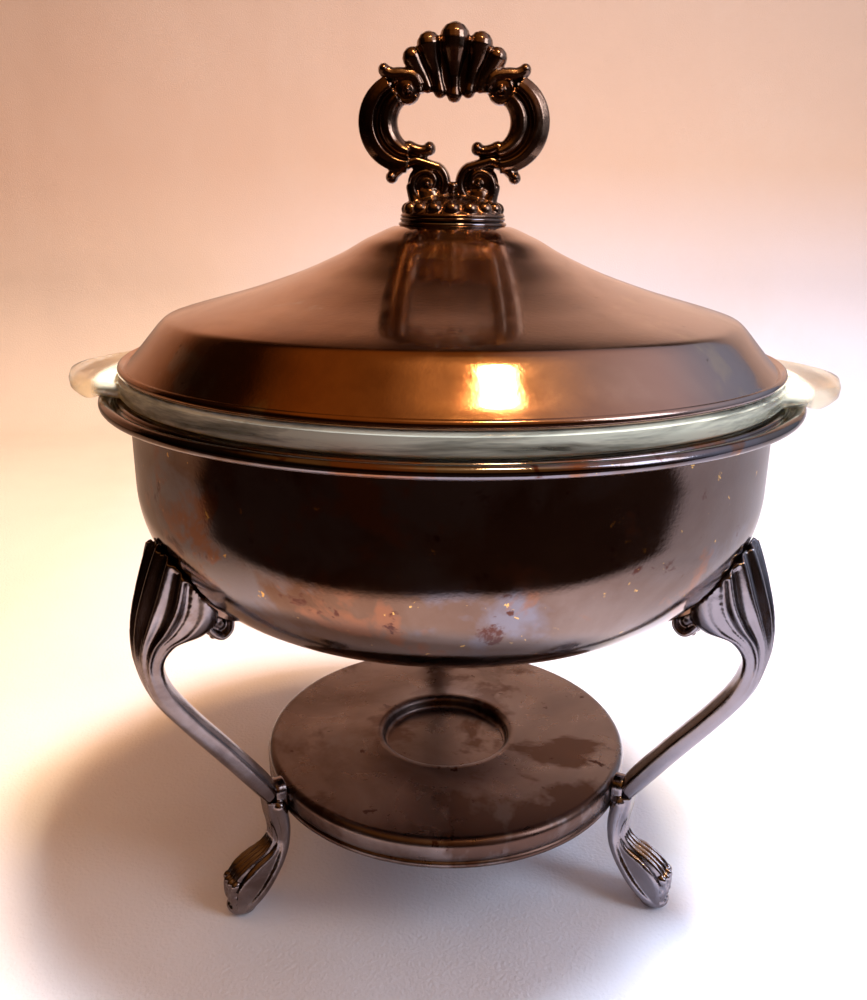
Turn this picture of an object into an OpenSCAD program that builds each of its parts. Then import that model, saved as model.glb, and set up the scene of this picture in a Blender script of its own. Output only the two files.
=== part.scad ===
// Round chafing dish: a metal bowl on three cast legs with paw feet, a burner tray between
// the ankles, a clear glass casserole inside the bowl, and a lid with a cast scroll handle.
// Millimetres. +Z is up, the origin is on the table under the middle of the bowl, and one
// leg points along +Y, so the open space between the other two faces -Y.

/* [Bowl] */
// Outside radius of the bowl's straight wall
bowl_r = 108.9; // [108:0.1:109.5]
// Radius of the bowl's rounded lower corner, outside
bowl_corner_r = 45.6; // [44:0.1:47]
// Height of the underside of the bowl above the table
bowl_floor_z = 114; // [113:0.1:115]
// Thickness of the spun sheet
sheet_t = 1.2; // [1:0.1:1.3]
// Height of the rim ledge that carries the glass dish
ledge_z = 188.5; // [188:0.1:190]
// Outside radius of the rolled rim
rim_r = 118.2; // [118:0.1:119]

/* [Lid] */
// Height of the lid's lower edge, which is also the top of the glass
lid_edge_z = 195.6; // [195:0.1:196]
// Outside radius of the lid's rolled edge
lid_edge_r = 111.6; // [111:0.1:112]
// Height of the flat crown under the handle's ring
crown_z = 240.6; // [240:0.1:241]

/* [Glass dish] */
// Outside radius of the glass body
glass_r = 106.5; // [106:0.1:106.8]
// Outside radius of the thick glass rim
glass_rim_r = 111.8; // [111.5:0.1:112]
// Thickness of the glass
glass_t = 4.5; // [4:0.1:5]
// Reach of the tab handles from the middle of the dish
tab_reach = 133.5; // [130:0.5:136]
// How far the dish and lid sit turned from the legs, in degrees
dish_turn = -4; // [-10:1:10]

/* [Stand] */
// Radius of the burner tray
tray_r = 69.9; // [69.7:0.1:70]
// Height of the tray's top above the table
tray_top_z = 47.9; // [47.5:0.1:48.2]
// Height of the tray's side
tray_h = 11.1; // [11:0.1:11.5]
// Radius of the burner recess in the tray
recess_r = 24.4; // [20:0.1:30]
// Depth of the burner recess
recess_depth = 4.9; // [4.5:0.1:5.2]
// Thickness of the curved seats between the bowl and the legs
pad_t = 2; // [1.9:0.1:2.1]

/* [Handle] */
// Radius of the plain ring under the handle
ring_r = 18.2; // [17.5:0.1:19]
// Height of the top of the handle above the table
handle_top_z = 303; // [302:0.5:304]

/* [Hidden] */
$fn = 96;
slack = 0.01;

// Directions of the three legs
left_angle = -150;
right_angle = -30;
rear_angle = 90;
leg_angles = [left_angle, right_angle, rear_angle];

// Bowl
bowl_in_r = bowl_r - sheet_t;
corner_x = bowl_r - bowl_corner_r;
corner_z = bowl_floor_z + bowl_corner_r;
bead_r = 1.9;
bead_x = rim_r - bead_r;
bead_z = ledge_z - 1.5;
rim_wire_r = 1.1;

// Angle of the bowl's round that each seat covers
pad_spread = 14;

// Leg screws run square to the bowl's rounded corner, at this slope below level
screw_slope = 58;
leg_screw_r = 2;
leg_screw_hole_r = 2.2;
head_lift = 0.2;
boss_r = 4.7;
boss_w = 14;
boss_reach = bowl_corner_r + pad_t + boss_r - 1.1;
boss_x = corner_x + boss_reach * cos(screw_slope);
boss_z = corner_z - boss_reach * sin(screw_slope);

// Burner tray
tray_bottom_z = tray_top_z - tray_h;
tray_edge_r = 3;
recess_lip_r = 2.5;
hem_r = 1.5;
tray_wire_r = 0.8;

// Ankle
ankle_z = 43;
lug_x = 73.8;
lug_half_w = 4.4;
lug_top_z = 49.9;
ankle_screw_z = 42.7;
ankle_screw_r = 1.5;
ankle_hole_r = 1.7;

// Lid
lid_bead_r = 1.5;
lid_wire_r = 0.8;
lip_r = 100.8;
lip_drop = 5.5;
crown_r = 19.5;

// Handle fixing
stud_r = 2.5;
stud_hole_r = 2.8;
stud_top_z = crown_z + 12;
stud_bottom_z = crown_z - 11;
ring_h = 2.9;
foot_z = crown_z + ring_h;
dome_h = 7.4;
dome_curve_r = 34;
bead_count = 16;
arm_w = 8;
washer_t = 1.2;
nut_h = 5;
nut_across_flats = 10;

// Glass
glass_rim_h = lid_edge_z - ledge_z;
glass_floor_z = bowl_floor_z + 5;
glass_corner_r = 44;
tab_curve_r = 51.4;

// Catmull-Rom curve through the stations of a list, with n steps between neighbours
function blend(a, b, c, d, t) =
    0.5 * (2 * b + (c - a) * t + (2 * a - 5 * b + 4 * c - d) * t * t
        + (3 * b - a - 3 * c + d) * t * t * t);
function smooth(p, n) = [
    for (i = [0 : len(p) - 2], k = [0 : n - 1])
        blend(p[max(i - 1, 0)], p[i], p[i + 1], p[min(i + 2, len(p) - 1)], k / n),
    p[len(p) - 1]
];

// One ring of a cast limb. A station is [outer x, outer z, inner x, inner z, half width].
function squared(v, power) = sign(v) * pow(abs(v), power);
function limb_ring(s, sides, power) = [
    for (i = [0 : sides - 1])
        let (a = 360 * i / sides, u = squared(cos(a), power), v = squared(sin(a), power))
            [(s[0] + s[2]) / 2 + u * (s[0] - s[2]) / 2, v * s[4],
             (s[1] + s[3]) / 2 + u * (s[1] - s[3]) / 2]
];

// A cast limb: rings joined along a list of stations, closed at both ends
module limb(stations, steps = 3, sides = 16, power = 0.6) {
    rings = [for (s = smooth(stations, steps)) limb_ring(s, sides, power)];
    count = len(rings);
    points = [for (ring = rings) each ring];
    walls = [
        for (j = [0 : count - 2], i = [0 : sides - 1])
            let (a = j * sides + i, b = j * sides + (i + 1) % sides)
                each [[a, b, b + sides], [a, b + sides, a + sides]]
    ];
    first = [for (i = [sides - 1 : -1 : 0]) i];
    last = [for (i = [0 : sides - 1]) (count - 1) * sides + i];
    polyhedron(points, concat([first], walls, [last]), convexity = 6);
}

// Stations of the stem, from under the bowl down to the ankle
stem_stations = [
    [107.5, 151, 96, 140, 18],
    [111.4, 142, 93, 131, 17],
    [114.6, 133, 92, 120.5, 15],
    [117.1, 124, 97, 116, 12],
    [118.1, 115, 105, 114.2, 9],
    [117.2, 106, 109.3, 108, 7],
    [113.6, 94.6, 107.6, 98, 6.2],
    [105, 81.3, 99.6, 85, 5.8],
    [92.3, 63.8, 86.9, 67.9, 5.3],
    [81.5, 48.6, 76.2, 53, 5],
    [76.5, 41, 71.5, 45, 5]
];

// The shell's hollows start here and run up through these tips, the last three on both sides
flute_root = [119.2, 0, 112.5];
flute_tips = [[113.8, 0, 144], [112.9, 7.7, 142.5], [110.1, 15, 139.5], [103.4, 21.4, 134]];

// Stations of the paw foot, from the ankle down to the toes
foot_stations = [
    [77.7, 43, 69.5, 43, 5],
    [77.3, 37, 69.2, 36, 5],
    [76.4, 31.5, 69.1, 30, 5],
    [76.8, 27.2, 69.6, 24.5, 5.2],
    [80.2, 23.8, 71.2, 19.6, 5.7],
    [86, 21, 73.6, 15.4, 6.4],
    [90.6, 17.6, 76.4, 11.4, 6.9],
    [93.4, 13, 79.2, 7.8, 6.9],
    [94, 8, 82, 4.2, 6.4],
    [92.6, 3.2, 83.8, 1, 5.4],
    [90.4, -1.2, 84.6, -1.6, 4.2]
];

// Half section of a round vessel with a rounded lower corner
module vessel_section(r, corner, floor_z, top_z) {
    translate([0, floor_z]) square([r - corner, top_z - floor_z]);
    translate([0, floor_z + corner]) square([r, top_z - floor_z - corner]);
    intersection() {
        translate([r - corner, floor_z + corner]) circle(corner);
        translate([0, floor_z]) square([r, corner + slack]);
    }
}

// Frame on the axis of a leg's screw: +X runs down and out through the bowl's corner
module on_screw_axis() {
    translate([corner_x, 0, corner_z]) rotate([0, screw_slope, 0]) children();
}

// The bowl's outside with the seats' thickness added, which every leg is cut back to
module seat_form() {
    rotate_extrude()
        vessel_section(bowl_r + pad_t, bowl_corner_r + pad_t, bowl_floor_z - pad_t, ledge_z);
}

module bowl() color("#5b4336") difference() {
    union() {
        rotate_extrude() difference() {
            vessel_section(bowl_r, bowl_corner_r, bowl_floor_z, ledge_z);
            vessel_section(bowl_in_r, bowl_corner_r - sheet_t, bowl_floor_z + sheet_t, ledge_z + 1);
        }
        rotate_extrude() rim_section();
    }
    for (a = leg_angles) rotate(a) on_screw_axis()
        translate([bowl_corner_r - 5, 0, 0]) rotate([0, 90, 0])
            cylinder(h = 8, r = leg_screw_hole_r);
}

// Flared rim: a ledge for the glass, a step down, and an edge rolled over a wire
module rim_section() {
    step_x = bowl_r + 3.6;
    groove_z = bead_z - 0.8;
    difference() {
        union() {
            translate([bowl_in_r, ledge_z - sheet_t]) square([step_x - bowl_in_r, sheet_t]);
            translate([step_x - sheet_t, groove_z]) square([sheet_t, ledge_z - groove_z]);
            translate([step_x - sheet_t, groove_z]) square([bead_x - step_x, sheet_t]);
            translate([bead_x, bead_z]) circle(bead_r);
        }
        translate([bead_x, bead_z]) circle(rim_wire_r);
    }
}

module rim_wire() color("#b5a27a")
    rotate_extrude() translate([bead_x, bead_z]) circle(rim_wire_r);

// Curved seat between the bowl's corner and a leg
module leg_pad(angle) color("#3f3733") rotate(angle) difference() {
    rotate(-pad_spread / 2) rotate_extrude(angle = pad_spread) translate([corner_x, corner_z])
        intersection() {
            difference() {
                circle(bowl_corner_r + pad_t);
                circle(bowl_corner_r);
            }
            polygon([[0, 0], [80, -26], [80, -80], [31, -80]]);
        }
    on_screw_axis() translate([bowl_corner_r - 5, 0, 0]) rotate([0, 90, 0])
        cylinder(h = 12, r = leg_screw_hole_r);
}

// Cast leg: shell top, scroll boss on the inside, curved stem down to the ankle
module leg(angle) color("#4a4342") rotate(angle) difference() {
    union() {
        limb(stem_stations);
        translate([boss_x, 0, boss_z]) rotate([90, 0, 0]) {
            cylinder(h = boss_w, r = boss_r, center = true);
            cylinder(h = boss_w + 2, r = boss_r - 2.4, center = true);
        }
    }
    seat_form();
    flute(flute_tips[0]);
    for (tip = [flute_tips[1], flute_tips[2], flute_tips[3]], side = [0, 1])
        mirror([0, side, 0]) flute(tip);
    on_screw_axis() translate([bowl_corner_r, 0, 0]) rotate([0, 90, 0])
        cylinder(h = pad_t + 7, r = leg_screw_r);
    translate([60, -20, 0]) cube([30, 40, ankle_z]);
    translate([60, -20, 0]) cube([lug_x - 60, 40, 60]);
}

// A hollow of the shell, widening from the knee up to a tip on the shell's edge
module flute(tip) {
    run = tip - flute_root;
    translate(flute_root) rotate([0, acos(run[2] / norm(run)), atan2(run[1], run[0])])
        cylinder(h = norm(run) * 1.15, r1 = 0.7, r2 = 4.4);
}

// Paw foot with the round lug that joins stem and tray
module foot(angle) color("#453f3f") rotate(angle) difference() {
    union() {
        limb(foot_stations);
        translate([tray_r - 1, -lug_half_w, ankle_z - 6])
            cube([lug_x - tray_r + 1, 2 * lug_half_w, lug_top_z - lug_half_w - ankle_z + 6]);
        translate([tray_r - 1, 0, lug_top_z - lug_half_w]) rotate([0, 90, 0])
            cylinder(h = lug_x - tray_r + 1, r = lug_half_w);
    }
    translate([0, 0, tray_bottom_z]) cylinder(h = tray_h + 10, r = tray_r);
    translate([60, 0, ankle_screw_z]) rotate([0, 90, 0])
        cylinder(h = lug_x - 60 - 0.3, r = ankle_screw_r);
    for (y = [-3.9, 0, 3.9]) translate([97.9, y, 0.6]) rotate([0, -12, 0])
        cylinder(h = 18, r1 = 4.4, r2 = 3);
    translate([60, -20, -10]) cube([50, 40, 10]);
}

// Round-head screws from inside the bowl into the scroll bosses
module leg_screws() color("#a8905c") for (a = leg_angles) rotate(a) on_screw_axis() {
    head_x = bowl_corner_r - sheet_t - head_lift;
    translate([head_x - 1.7, 0, 0]) rotate([0, 90, 0]) cylinder(h = 1.7, r = 3.6);
    translate([head_x - 0.1, 0, 0]) rotate([0, 90, 0])
        cylinder(h = sheet_t + head_lift + pad_t + 6.5, r = leg_screw_r);
}

// Drum with a rounded top edge, a burner recess and a hem rolled over a wire
module burner_tray() color("#6b605a") difference() {
    rotate_extrude() difference() {
        union() {
            difference() {
                translate([0, tray_top_z]) mirror([0, 1])
                    vessel_section(tray_r, tray_edge_r, 0, tray_h - hem_r);
                difference() {
                    translate([0, tray_top_z - sheet_t]) mirror([0, 1])
                        vessel_section(tray_r - sheet_t, tray_edge_r - sheet_t, 0, tray_h);
                    recess_wall();
                }
                recess_hollow();
            }
            translate([tray_r - hem_r, tray_bottom_z + hem_r]) circle(hem_r);
        }
        translate([tray_r - hem_r, tray_bottom_z + hem_r]) circle(tray_wire_r);
    }
    for (a = leg_angles) rotate(a) translate([60, 0, ankle_screw_z]) rotate([0, 90, 0])
        cylinder(h = 15, r = ankle_hole_r);
}

// Section of the empty space of the recess, with its rounded lip
module recess_hollow() {
    translate([0, tray_top_z - recess_depth]) square([recess_r, recess_depth + 1]);
    difference() {
        translate([recess_r - slack, tray_top_z - recess_lip_r])
            square([recess_lip_r + slack, recess_lip_r + 1]);
        translate([recess_r + recess_lip_r, tray_top_z - recess_lip_r]) circle(recess_lip_r);
    }
}

// Section of the metal around the recess, below the tray's top
module recess_wall() {
    translate([0, tray_top_z - recess_depth - sheet_t])
        square([recess_r + sheet_t, recess_depth + sheet_t]);
    translate([recess_r, tray_top_z - recess_lip_r]) square(recess_lip_r);
}

module tray_wire() color("#b5a27a")
    rotate_extrude() translate([tray_r - hem_r, tray_bottom_z + hem_r]) circle(tray_wire_r);

// Screws from inside the tray's side into the lugs
module ankle_screws() color("#a8905c") for (a = leg_angles)
    rotate(a) translate([tray_r - sheet_t, 0, ankle_screw_z]) rotate([0, 90, 0]) {
        translate([0, 0, -1.75]) cylinder(h = 1.7, r = 2.6);
        translate([0, 0, -0.1]) cylinder(h = lug_x - tray_r + sheet_t - 0.3, r = ankle_screw_r);
    }

// Clear casserole: rounded body, thick rim band and two crescent tab handles
module glass_dish() color("#dfe6c8", 0.4) rotate(dish_turn) {
    mouth_r = glass_r - glass_t;
    round_r = 2.5;
    difference() {
        union() {
            rotate_extrude() {
                vessel_section(glass_r, glass_corner_r, glass_floor_z, ledge_z + 2);
                translate([0, ledge_z]) square([glass_rim_r - round_r, glass_rim_h]);
                translate([0, ledge_z + round_r]) square([glass_rim_r, glass_rim_h - 2 * round_r]);
                for (z = [ledge_z + round_r, lid_edge_z - round_r])
                    translate([glass_rim_r - round_r, z]) circle(round_r);
            }
            for (side = [0, 180]) rotate(side) glass_tab();
        }
        rotate_extrude() vessel_section(mouth_r, glass_corner_r - glass_t,
            glass_floor_z + glass_t, lid_edge_z + 1);
    }
}

// Crescent tab with a thicker lip outside the metal rim
module glass_tab() {
    tab_z = ledge_z + 0.7;
    tab_top_z = ledge_z + 5;
    lip_z = ledge_z - 1.5;
    difference() {
        translate([tab_reach - tab_curve_r, 0, lip_z]) cylinder(h = tab_top_z - lip_z, r = tab_curve_r);
        translate([0, 0, lip_z - 1]) cylinder(h = tab_z - lip_z + 1, r = rim_r + 1);
        translate([-200, -100, lip_z - 1]) cube([290, 200, 30]);
    }
}

// Outline of the lid above its edge: steep skirt, round shoulder, concave sweep to the crown
lid_curve = concat(
    [[lid_edge_r - 0.4, lid_edge_z + 1.2]],
    smooth([[110.2, 198], [99.2, 209], [96.6, 211.2], [93, 212.8]], 3),
    smooth([[88, 214.3], [64, 221.5], [42, 230], [24, 238.8]], 4),
    [[crown_r, crown_z], [0, crown_z]]
);

module lid_section() {
    difference() {
        polygon(concat([[0, lid_edge_z], [lid_edge_r - 0.4, lid_edge_z]], lid_curve));
        translate([-0.6, -sheet_t])
            polygon(concat([[0, lid_edge_z - 5], [lid_edge_r - 0.4, lid_edge_z - 5]], lid_curve));
        translate([0, lid_edge_z]) square([crown_r, crown_z - sheet_t - lid_edge_z]);
    }
    // ledge and lip that locate the lid inside the glass
    translate([lip_r - sheet_t, lid_edge_z]) square([lid_edge_r - lip_r - 1, sheet_t]);
    translate([lip_r - sheet_t, lid_edge_z - lip_drop]) square([sheet_t, lip_drop + sheet_t]);
    translate([lid_edge_r - lid_bead_r, lid_edge_z + lid_bead_r]) circle(lid_bead_r);
}

module lid() color("#8a6446") rotate_extrude() difference() {
    lid_section();
    translate([lid_edge_r - lid_bead_r, lid_edge_z + lid_bead_r]) circle(lid_wire_r);
    translate([-1, crown_z - 10]) square([stud_hole_r + 1, 20]);
}

module lid_wire() color("#b5a27a")
    rotate_extrude() translate([lid_edge_r - lid_bead_r, lid_edge_z + lid_bead_r]) circle(lid_wire_r);

// Plain stepped ring between the crown and the handle's foot
module handle_ring() color("#6d5b4e") rotate_extrude() difference() {
    union() {
        translate([0, crown_z]) square([ring_r, ring_h * 0.55]);
        translate([0, crown_z]) square([ring_r - 0.9, ring_h]);
    }
    translate([-1, crown_z - 1]) square([stud_hole_r + 1, ring_h + 2]);
}

// One lobe of the shell: a tapering finger from the rim of the shell to its foot
module shell_lobe(x, z, r, foot_x, foot_z, foot_r) {
    reach = norm([foot_x - x, foot_z - z]);
    translate([x, 0, z]) {
        sphere(r);
        rotate([0, atan2(foot_x - x, foot_z - z), 0])
            cylinder(h = reach, r1 = r * 0.92, r2 = foot_r * 0.75);
    }
    translate([foot_x, 0, foot_z]) sphere(foot_r);
}

// Scroll work of one side of the handle: fluted arm, leaf tip, knobs and the two volutes
module handle_side() {
    arm_c = [17.4, handle_top_z - 29.6];
    arm_r = 13.8;
    gap_c = [10, handle_top_z - 30.4];
    gap_r = 8.5;
    flute_c = (arm_c + gap_c) / 2;
    flute_r = (arm_r + gap_r) / 2 + 0.3;
    leaf_c = [22.6, handle_top_z - 14.3];
    upper_volute_c = [14.4, handle_top_z - 20.2];
    lower_volute_c = [8.4, handle_top_z - 48.7];
    knob_z = lower_volute_c[1] + 1.9;
    rotate([90, 0, 0]) {
        difference() {
            linear_extrude(arm_w, center = true) difference() {
                translate(arm_c) circle(arm_r);
                translate(gap_c) circle(gap_r);
                translate([arm_c[0] - arm_r - 1, arm_c[1] - arm_r]) square([4, 2 * arm_r]);
            }
            for (z = [-arm_w / 2, arm_w / 2]) translate([flute_c[0], flute_c[1], z])
                rotate_extrude() translate([flute_r, 0]) circle(1.5);
        }
        linear_extrude(arm_w, center = true) {
            translate([8.2, gap_c[1] - gap_r + 0.5]) circle(2.2);
            translate([20, knob_z]) circle(2.2);
            translate([13, knob_z + 0.3]) rotate(8) square([7, 3.2]);
            translate(leaf_c) circle(1.9);
            translate([14, leaf_c[1] - 4.2]) rotate(15) square([8.6, 4]);
        }
        linear_extrude(arm_w + 2, center = true) {
            translate(lower_volute_c) circle(7);
            translate(upper_volute_c) circle(4.5);
        }
        linear_extrude(arm_w + 3.5, center = true) {
            translate(lower_volute_c) circle(2.2);
            translate(upper_volute_c) circle(1.8);
        }
    }
}

// Cast handle: beaded domed foot, two scrolls around a finger gap, and a five-lobed shell
module handle() color("#4d3b30") rotate(dish_turn) difference() {
    union() {
        translate([0, 0, foot_z]) rotate_extrude() intersection() {
            translate([0, dome_h - dome_curve_r]) circle(dome_curve_r);
            square([ring_r - 0.5, dome_h + 1]);
        }
        for (i = [0 : bead_count - 1]) rotate(i * 360 / bead_count)
            translate([15, 0, foot_z + 2.5]) sphere(2.5);
        for (side = [0, 1]) mirror([side, 0, 0]) handle_side();
        rotate([90, 0, 0]) linear_extrude(5, center = true) translate([0, handle_top_z])
            polygon([
                [-16, -19], [-13, -9], [-7, -6], [7, -6], [13, -9], [16, -19], [5, -22], [-5, -22]
            ]);
        translate([-6, -arm_w / 2, foot_z + 3]) cube([12, arm_w, dome_h]);
        shell_lobe(0, handle_top_z - 5, 5, 0, handle_top_z - 21.5, 2.5);
        for (side = [-1, 1]) {
            shell_lobe(side * 8.1, handle_top_z - 6.7, 4.1, side * 4.5, handle_top_z - 21, 2.2);
            shell_lobe(side * 13.4, handle_top_z - 10.4, 3.5, side * 8.6, handle_top_z - 19.5, 2);
        }
    }
    translate([0, 0, foot_z - 5]) cylinder(h = stud_top_z - foot_z + 5, r = stud_r);
}

module handle_stud() color("#b5a27a")
    translate([0, 0, stud_bottom_z]) cylinder(h = stud_top_z - stud_bottom_z, r = stud_r);

module lid_washer() color("#b5a27a") translate([0, 0, crown_z - sheet_t - washer_t]) difference() {
    cylinder(h = washer_t, r = 9);
    translate([0, 0, -1]) cylinder(h = washer_t + 2, r = stud_hole_r);
}

module lid_nut() color("#b5a27a") translate([0, 0, crown_z - sheet_t - washer_t - nut_h]) difference() {
    cylinder(h = nut_h, d = nut_across_flats / cos(30), $fn = 6);
    translate([0, 0, -1]) cylinder(h = nut_h + 2, r = stud_r);
}

lid();
lid_wire();
handle_ring();
handle();
handle_stud();
lid_washer();
lid_nut();
glass_dish();
bowl();
rim_wire();
leg_pad(left_angle);  // leg_pad_left
leg_pad(right_angle);  // leg_pad_right
leg_pad(rear_angle);  // leg_pad_rear
leg(left_angle);  // leg_left
leg(right_angle);  // leg_right
leg(rear_angle);  // leg_rear
foot(left_angle);  // foot_left
foot(right_angle);  // foot_right
foot(rear_angle);  // foot_rear
leg_screws();
burner_tray();
tray_wire();
ankle_screws();
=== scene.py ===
"""Looks for the chafing dish: detailed castings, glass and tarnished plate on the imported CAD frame."""

import math

import bpy
import numpy as np
from mathutils import Matrix, Vector


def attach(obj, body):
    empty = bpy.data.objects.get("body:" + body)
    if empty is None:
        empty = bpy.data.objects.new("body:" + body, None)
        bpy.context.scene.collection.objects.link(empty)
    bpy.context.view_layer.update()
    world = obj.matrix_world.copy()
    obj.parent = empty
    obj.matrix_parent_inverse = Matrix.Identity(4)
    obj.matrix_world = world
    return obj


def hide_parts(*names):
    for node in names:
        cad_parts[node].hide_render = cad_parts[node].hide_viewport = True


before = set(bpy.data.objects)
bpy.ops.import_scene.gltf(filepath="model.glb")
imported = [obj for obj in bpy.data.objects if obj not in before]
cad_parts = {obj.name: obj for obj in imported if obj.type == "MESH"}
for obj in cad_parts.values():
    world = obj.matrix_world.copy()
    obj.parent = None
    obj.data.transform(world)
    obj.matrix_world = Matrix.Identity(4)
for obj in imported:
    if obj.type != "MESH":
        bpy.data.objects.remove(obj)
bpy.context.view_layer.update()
MM = 0.001

# Sizes in millimetres, the same as the CAD model's
BOWL_R, CORNER_R, FLOOR_Z, SHEET = 108.9, 45.6, 114.0, 1.2
LEDGE_Z, RIM_R, BEAD_R = 188.5, 118.2, 1.9
LID_EDGE_Z, LID_EDGE_R, CROWN_Z, CROWN_R = 195.6, 111.6, 240.6, 19.5
GLASS_R, GLASS_RIM_R, GLASS_T, TAB_REACH, TAB_CURVE_R = 106.5, 111.8, 4.5, 133.5, 51.4
TRAY_R, TRAY_TOP, TRAY_BOTTOM = 69.9, 47.9, 36.8
RING_R, DOME_Z, HANDLE_TOP = 18.2, 243.5, 303.0
DISH_TURN = -4.0
CORNER_C = (BOWL_R - CORNER_R, FLOOR_Z + CORNER_R)
LEGS = {"left": -150.0, "right": -30.0, "rear": 90.0}


# ---------------------------------------------------------------- curves and meshes
def smooth(points, steps):
    """Catmull-Rom curve through the points, with steps pieces between neighbours."""
    p = np.asarray(points, float)
    p = np.vstack([2 * p[0] - p[1], p, 2 * p[-1] - p[-2]])
    out = []
    for i in range(1, len(p) - 2):
        a, b, c, d = p[i - 1 : i + 3]
        for k in range(steps):
            t = k / steps
            out.append(0.5 * (2 * b + (c - a) * t + (2 * a - 5 * b + 4 * c - d) * t * t
                              + (3 * b - a - 3 * c + d) * t**3))
    out.append(p[-2])
    return np.array(out)


def arc(cx, cz, r, start, end, steps):
    """Points of an arc in the (radius, height) plane, angles in degrees from +radius."""
    return [(cx + r * math.cos(math.radians(a)), cz + r * math.sin(math.radians(a)))
            for a in np.linspace(start, end, steps)]


class Mesh:
    """Vertices and faces gathered from several closed shapes, in millimetres."""

    def __init__(self):
        self.verts, self.faces = [], []

    def add(self, verts, faces):
        base = len(self.verts)
        self.verts.extend(tuple(map(float, v)) for v in verts)
        self.faces.extend(tuple(base + i for i in f) for f in faces)

    def rings(self, rings):
        """A closed skin over a list of rings with the same number of points."""
        n, count = len(rings[0]), len(rings)
        faces = [(j * n + i, j * n + (i + 1) % n, (j + 1) * n + (i + 1) % n, (j + 1) * n + i)
                 for j in range(count - 1) for i in range(n)]
        faces += [tuple(range(n))[::-1], tuple(range((count - 1) * n, count * n))]
        self.add([p for ring in rings for p in ring], faces)

    def tube(self, path, radii, depth=1.0):
        """A bar with rounded ends: one radius per point of the path, times depth across it."""
        path, radii = np.asarray(path, float), np.asarray(radii, float)
        first, last = path[0] - path[1], path[-1] - path[-2]
        first, last = first / np.linalg.norm(first), last / np.linalg.norm(last)
        turn = [math.radians(a) for a in (75, 50, 25)]
        path = np.vstack([[path[0] + first * radii[0] * math.sin(a) for a in turn], path,
                          [path[-1] + last * radii[-1] * math.sin(a) for a in turn[::-1]]])
        radii = np.concatenate([[radii[0] * math.cos(a) for a in turn], radii,
                                [radii[-1] * math.cos(a) for a in turn[::-1]]])
        rings = []
        for i, (p, r) in enumerate(zip(path, radii)):
            t = path[min(i + 1, len(path) - 1)] - path[max(i - 1, 0)]
            t = t / np.linalg.norm(t)
            n = np.array([t[2], 0, -t[0]]) / max(math.hypot(t[0], t[2]), 1e-6)
            b = np.cross(t, n)
            rings.append([p + r * (math.cos(a) * n + depth * math.sin(a) * b)
                          for a in np.linspace(0, 2 * math.pi, 20, endpoint=False)])
        self.rings(rings)

    def ball(self, centre, radii, turn=0.0):
        """An ellipsoid, turned about Z by turn degrees."""
        rows, cols = 12, 20
        c, s = math.cos(math.radians(turn)), math.sin(math.radians(turn))
        rings = []
        for j in range(rows + 1):
            e = math.pi * (j + 0.02) / (rows + 0.04) - math.pi / 2
            ring = []
            for i in range(cols):
                a = 2 * math.pi * i / cols
                x, y = radii[0] * math.cos(e) * math.cos(a), radii[1] * math.cos(e) * math.sin(a)
                ring.append((centre[0] + x * c - y * s, centre[1] + x * s + y * c,
                             centre[2] + radii[2] * math.sin(e)))
            rings.append(ring)
        self.rings(rings)

    def section(self, path, widths, profile):
        """A moulding in the XZ plane: profile gives (across -1..1, depth in mm) of one face."""
        path = np.asarray(path, float)
        rings = []
        for i, (p, w) in enumerate(zip(path, widths)):
            t = path[min(i + 1, len(path) - 1)] - path[max(i - 1, 0)]
            t = t / np.linalg.norm(t)
            n = np.array([-t[1], t[0]])
            scale = min(1.0, 0.35 + w / 6)
            face = [(p[0] + n[0] * s * w, -d * scale, p[1] + n[1] * s * w) for s, d in profile]
            back = [(x, -y, z) for x, y, z in face[::-1]]
            rings.append(face + back)
        self.rings(rings)

    def turned(self, degrees):
        """A copy turned about Z."""
        c, s = math.cos(math.radians(degrees)), math.sin(math.radians(degrees))
        other = Mesh()
        other.add([(x * c - y * s, x * s + y * c, z) for x, y, z in self.verts], self.faces)
        return other

    def mirrored(self):
        """A copy mirrored in X, with its faces turned the right way out."""
        other = Mesh()
        other.add([(-x, y, z) for x, y, z in self.verts], [f[::-1] for f in self.faces])
        return other


def piece(name, mesh, body, nodes, material, sharp=40):
    """Makes an object of a Mesh, lets it ride on a body and stand for its CAD nodes."""
    data = bpy.data.meshes.new(name)
    verts = np.array(mesh.verts)
    fans = np.array([(f[0], f[i], f[i + 1]) for f in mesh.faces for i in range(1, len(f) - 1)])
    volume = np.einsum("ij,ij->i", verts[fans[:, 0]], np.cross(verts[fans[:, 1]], verts[fans[:, 2]])).sum()
    faces = mesh.faces if volume > 0 else [f[::-1] for f in mesh.faces]
    data.from_pydata([tuple(c * MM for c in v) for v in mesh.verts], [], faces)
    data.update()
    data.shade_smooth()
    if sharp:
        data.set_sharp_from_angle(angle=math.radians(sharp))
    obj = bpy.data.objects.new(name, data)
    bpy.context.scene.collection.objects.link(obj)
    data.materials.append(material)
    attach(obj, body)
    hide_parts(*nodes)
    return obj


def cast(mesh, voxel, passes):
    """Joins overlapping closed shapes into one soft-edged casting."""
    data = bpy.data.meshes.new("casting")
    data.from_pydata(mesh.verts, [], mesh.faces)
    data.update()
    work = bpy.data.objects.new("casting", data)
    bpy.context.scene.collection.objects.link(work)
    remesh = work.modifiers.new("remesh", "REMESH")
    remesh.mode = "VOXEL"
    remesh.voxel_size = voxel
    soften = work.modifiers.new("soften", "SMOOTH")
    soften.factor = 0.5
    soften.iterations = passes
    result = work.evaluated_get(bpy.context.evaluated_depsgraph_get()).to_mesh()
    made = Mesh()
    made.add([v.co for v in result.vertices], [tuple(p.vertices) for p in result.polygons])
    bpy.data.objects.remove(work)
    return made


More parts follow.
